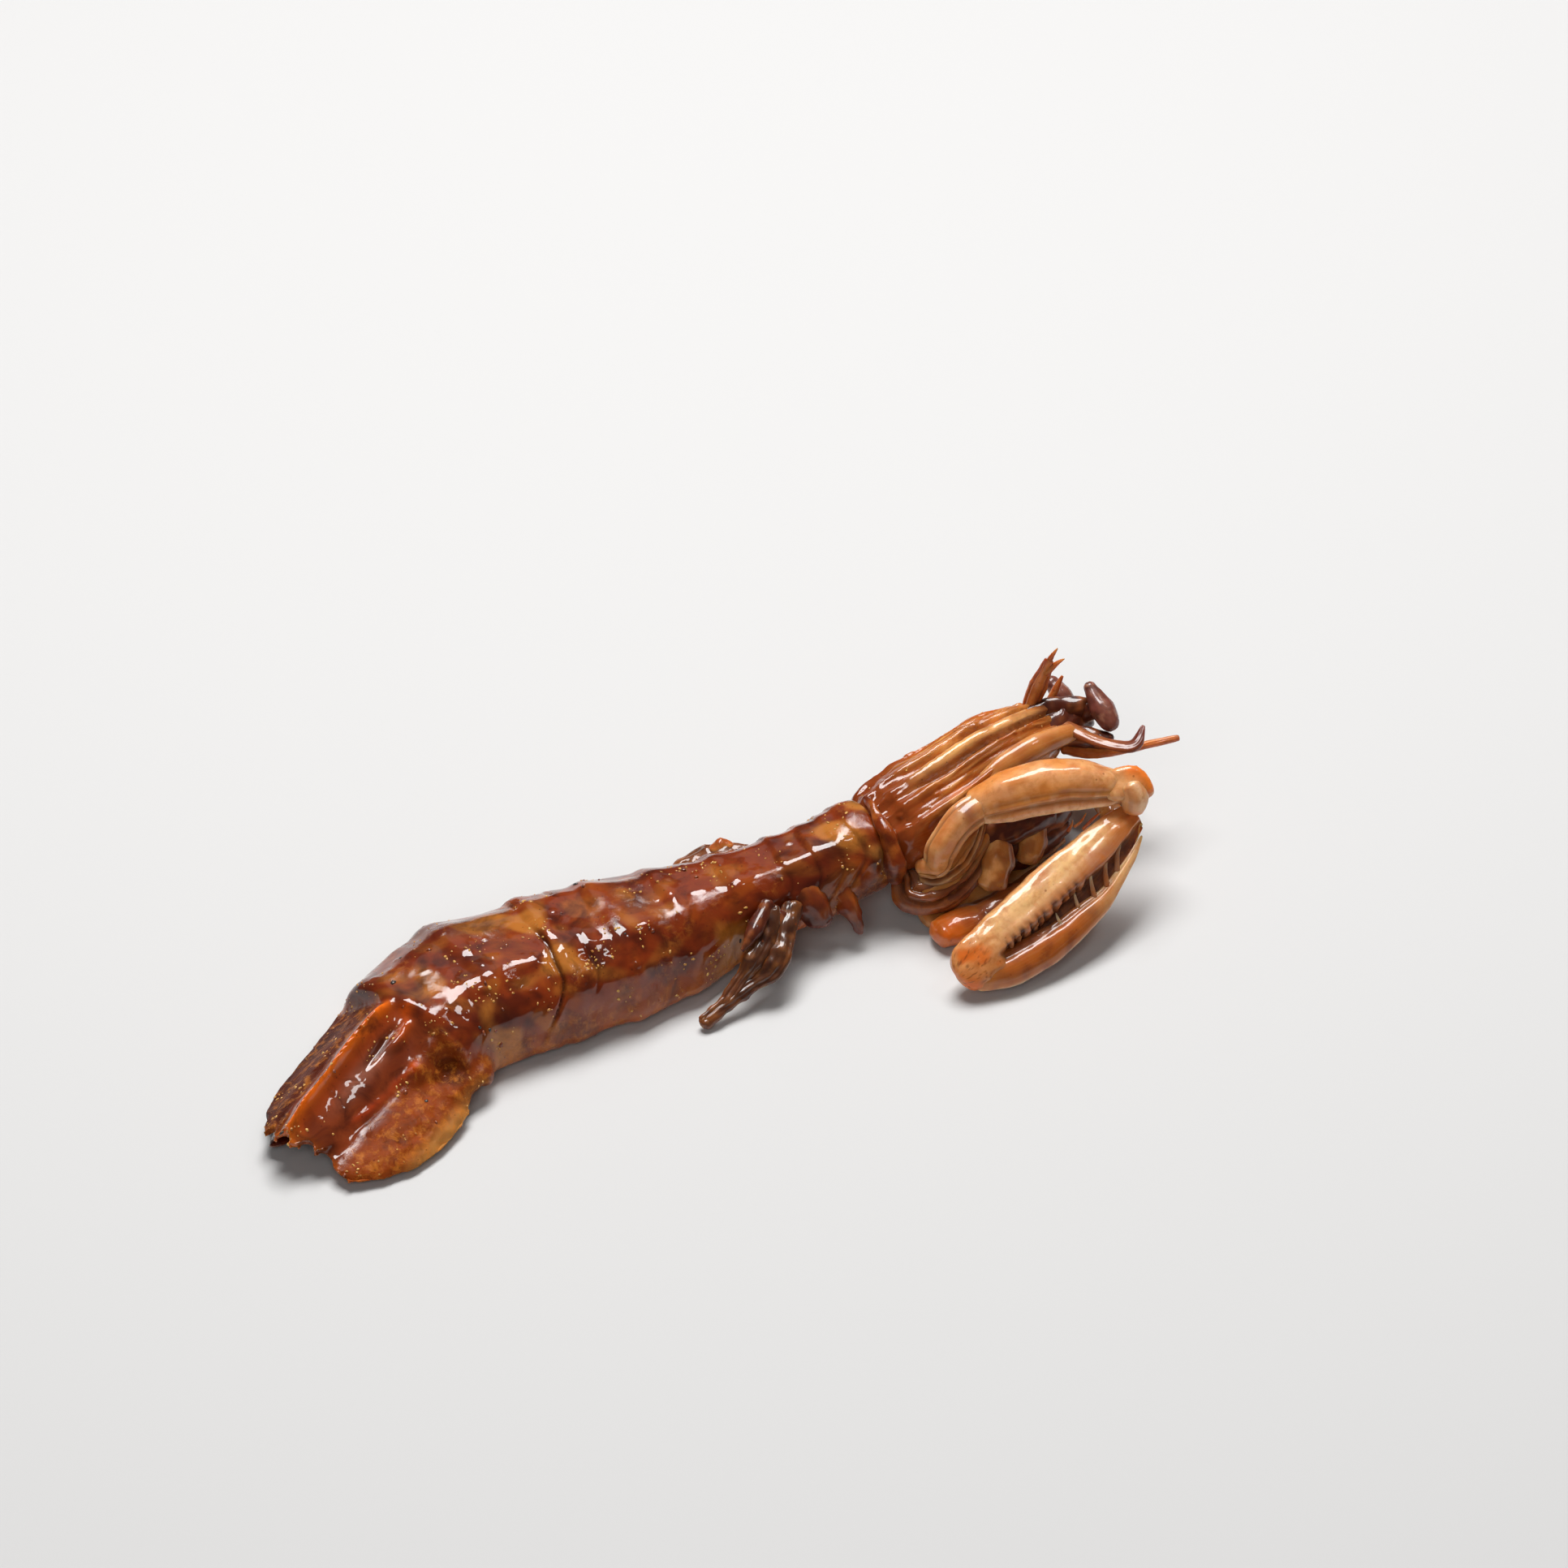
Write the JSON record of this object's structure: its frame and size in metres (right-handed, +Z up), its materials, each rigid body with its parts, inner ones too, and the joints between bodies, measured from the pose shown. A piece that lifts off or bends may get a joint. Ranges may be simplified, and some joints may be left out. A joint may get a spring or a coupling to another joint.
{
  "type": "cooked mantis shrimp",
  "caption": "Whole cooked mantis shrimp in dark sauce: ringed body, ridged head shield, broad tail fan, one long toothed raptorial claw opened out, hanging leg, stalked eyes.",
  "frame": {"origin": "middle of the underside of the bounding box, on the surface that the shrimp lies on", "axes": "+X from the tail to the head, -Y to the animal's right side, +Z up from its belly to its back"},
  "size_m": [0.1648, 0.049, 0.0316],
  "materials": {
    "sauced_shell": "cooked shell under thick glossy dark brown sauce",
    "boiled_claw_shell": "translucent tan cooked shell with a thin wet glaze",
    "boiled_horn": "orange cooked horn with a thin wet glaze",
    "boiled_eye": "dark purple brown, wet"
  },
  "bodies": {
    "root": {"abdomen_segment_1": "sauced_shell", "abdomen_segment_2": "sauced_shell", "abdomen_segment_3": "sauced_shell", "abdomen_segment_4": "sauced_shell", "abdomen_segment_5": "sauced_shell", "abdomen_segment_6": "sauced_shell", "antenna_right": "boiled_horn", "antennal_scale_right": "boiled_horn", "antennule_left": "boiled_horn", "carapace": "sauced_shell", "claw_left_carpus": "boiled_claw_shell", "claw_left_dactyl": "boiled_claw_shell", "claw_left_merus": "boiled_claw_shell", "claw_left_propodus": "boiled_claw_shell", "claw_right_carpus": "boiled_claw_shell", "claw_right_dactyl": "boiled_claw_shell", "claw_right_ischium": "boiled_claw_shell", "claw_right_merus": "boiled_claw_shell", "claw_right_propodus": "boiled_claw_shell", "eye_left": "boiled_eye", "eye_right": "boiled_eye", "head": "sauced_shell", "leg_left_1": "sauced_shell", "leg_left_2": "sauced_shell", "leg_left_3": "sauced_shell", "leg_right_1": "sauced_shell", "leg_right_2": "sauced_shell", "leg_right_3": "sauced_shell", "maxilliped_plate_right_1": "boiled_claw_shell", "maxilliped_plate_right_2": "boiled_claw_shell", "maxilliped_right_1": "boiled_claw_shell", "maxilliped_right_2": "boiled_claw_shell", "mouth_parts": "sauced_shell", "pleopod_left": "sauced_shell", "telson": "sauced_shell", "thorax_segment_5": "sauced_shell", "thorax_segment_6": "sauced_shell", "thorax_segment_7": "sauced_shell", "thorax_segment_8": "sauced_shell", "uropod_left": "sauced_shell", "uropod_right": "sauced_shell"}
  },
  "joints": []
}
